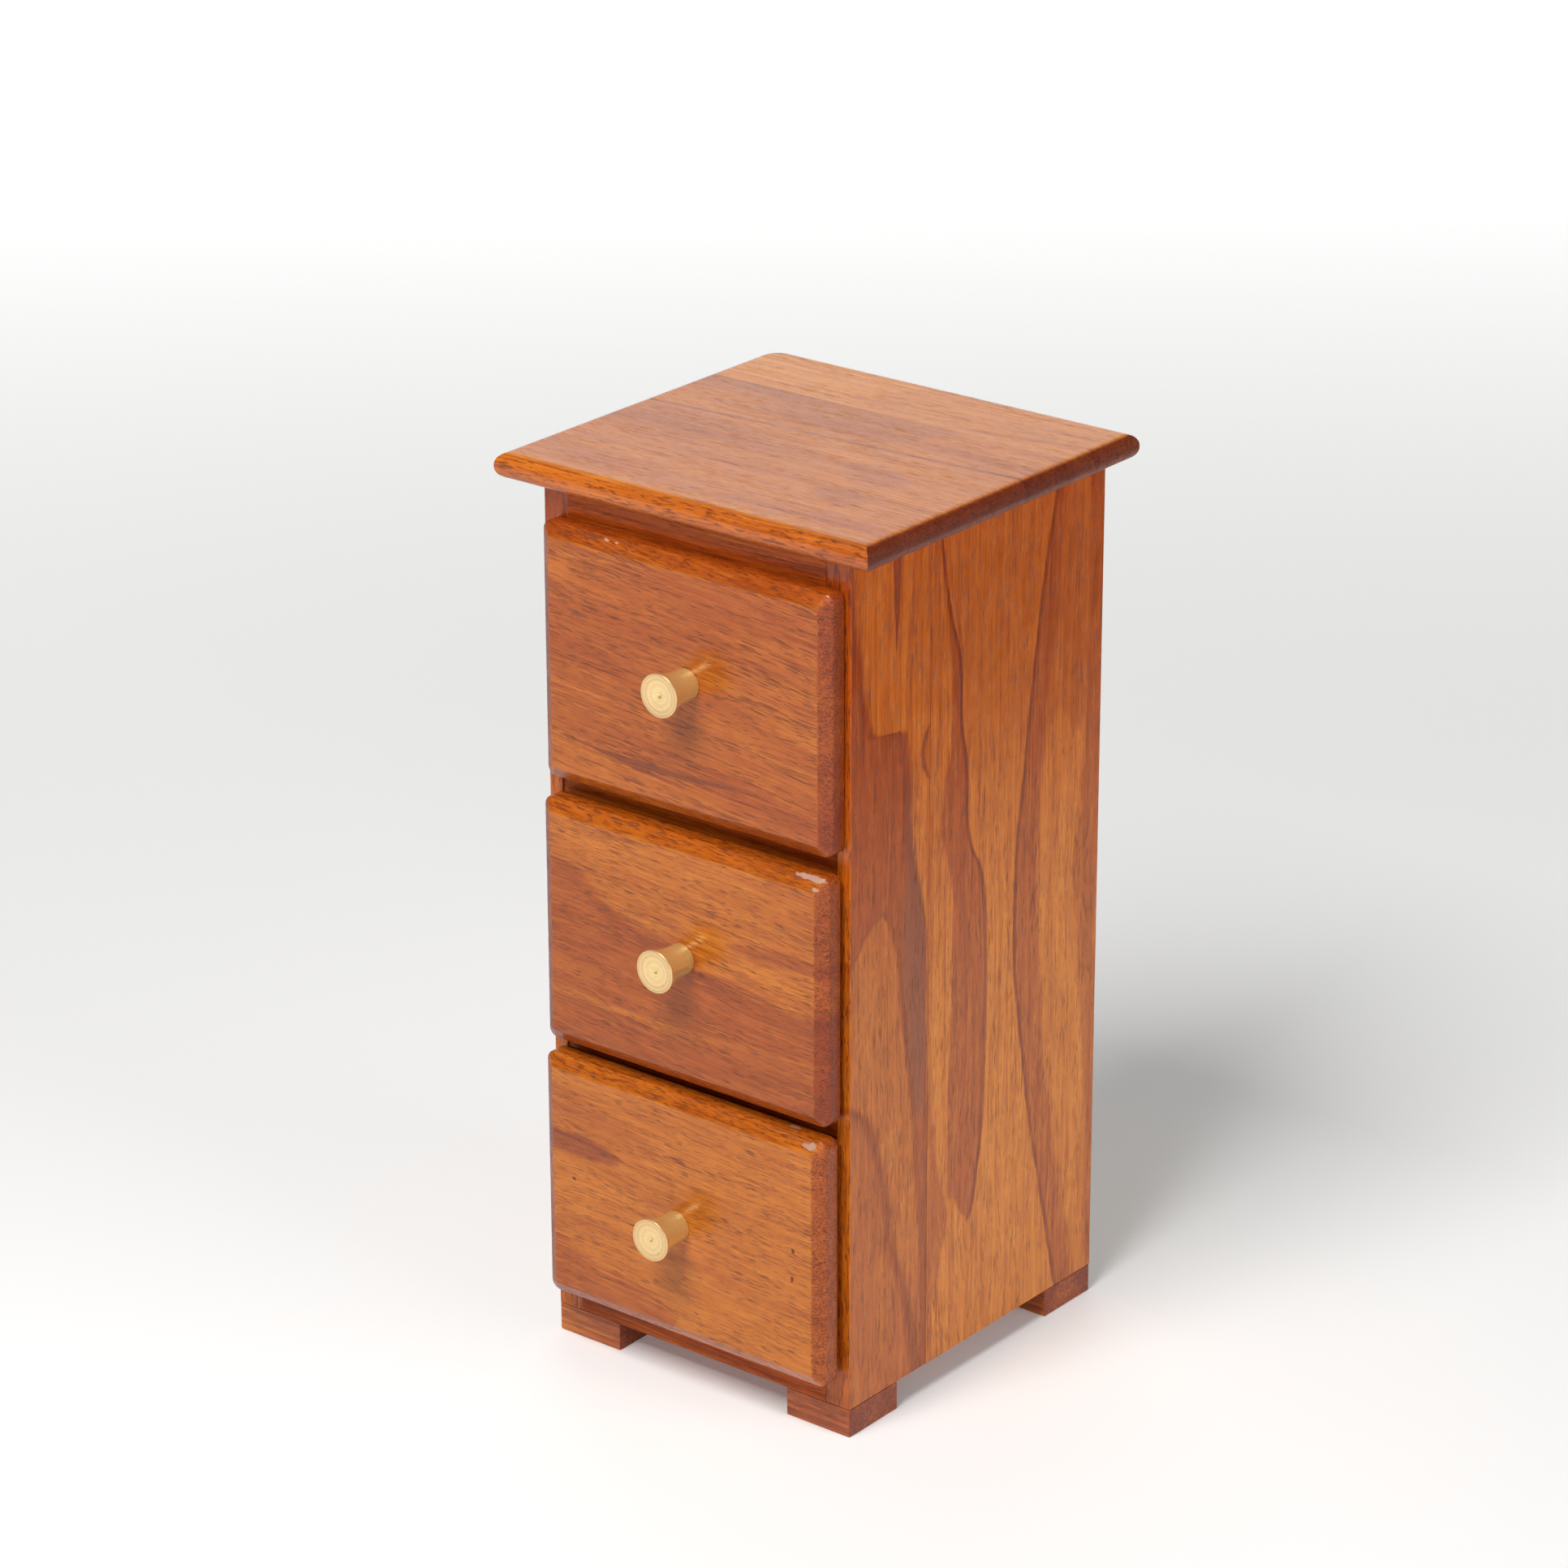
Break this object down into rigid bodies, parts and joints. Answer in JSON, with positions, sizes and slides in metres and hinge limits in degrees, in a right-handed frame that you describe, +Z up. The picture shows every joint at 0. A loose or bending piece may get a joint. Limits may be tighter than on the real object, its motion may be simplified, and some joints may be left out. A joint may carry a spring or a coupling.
{
  "type": "miniature chest of drawers",
  "caption": "Small tower-shaped wooden chest with sliding bevelled-front drawers, turned brass knobs, block feet and an overhanging round-edged top.",
  "frame": {"origin": "centre of the bounding box's footprint, on the surface that the feet stand on", "axes": "+Z up, -Y the way the drawers open (the fronts face -Y), +X to the right seen from the front"},
  "size_m": [0.1068, 0.1134, 0.2217],
  "materials": {
    "carcase_wood": "orange-brown clear lacquer, satin to gloss",
    "slab_wood": "orange-brown clear lacquer, gloss",
    "front_wood": "orange-brown clear lacquer, gloss",
    "box_wood": "bare, sanded",
    "thin_board": "bare thin plywood",
    "turned_brass": "lathe-turned, lightly polished",
    "fixing_steel": "plain bright steel"
  },
  "bodies": {
    "carcase": {"back_panel": "thin_board", "back_panel_pins": "fixing_steel", "bottom_board": "carcase_wood", "foot_front_left": "carcase_wood", "foot_front_right": "carcase_wood", "foot_rear_left": "carcase_wood", "foot_rear_right": "carcase_wood", "shelf_lower": "carcase_wood", "shelf_upper": "carcase_wood", "side_left_front_board": "carcase_wood", "side_left_rear_board": "carcase_wood", "side_right_front_board": "carcase_wood", "side_right_rear_board": "carcase_wood", "slab_front_board": "slab_wood", "slab_rear_board": "slab_wood", "top_board": "carcase_wood"},
    "drawer_top": {"drawer_top_bottom_panel": "thin_board", "drawer_top_box_back": "box_wood", "drawer_top_box_front": "box_wood", "drawer_top_box_pins": "fixing_steel", "drawer_top_front": "front_wood", "drawer_top_knob": "turned_brass", "drawer_top_knob_screw": "fixing_steel", "drawer_top_side_left": "box_wood", "drawer_top_side_right": "box_wood"},
    "drawer_middle": {"drawer_middle_bottom_panel": "thin_board", "drawer_middle_box_back": "box_wood", "drawer_middle_box_front": "box_wood", "drawer_middle_box_pins": "fixing_steel", "drawer_middle_front": "front_wood", "drawer_middle_knob": "turned_brass", "drawer_middle_knob_screw": "fixing_steel", "drawer_middle_side_left": "box_wood", "drawer_middle_side_right": "box_wood"},
    "drawer_bottom": {"drawer_bottom_bottom_panel": "thin_board", "drawer_bottom_box_back": "box_wood", "drawer_bottom_box_front": "box_wood", "drawer_bottom_box_pins": "fixing_steel", "drawer_bottom_front": "front_wood", "drawer_bottom_knob": "turned_brass", "drawer_bottom_knob_screw": "fixing_steel", "drawer_bottom_side_left": "box_wood", "drawer_bottom_side_right": "box_wood"}
  },
  "joints": [
    {"name": "drawer_top_slide", "type": "slide", "parent": "carcase", "child": "drawer_top", "axis": [0, -1, 0], "range_m": [-0.0002, 0.0657]},
    {"name": "drawer_middle_slide", "type": "slide", "parent": "carcase", "child": "drawer_middle", "axis": [0, -1, 0], "range_m": [-0.0015, 0.0644]},
    {"name": "drawer_bottom_slide", "type": "slide", "parent": "carcase", "child": "drawer_bottom", "axis": [0, -1, 0], "range_m": [-0.0025, 0.0634]}
  ]
}
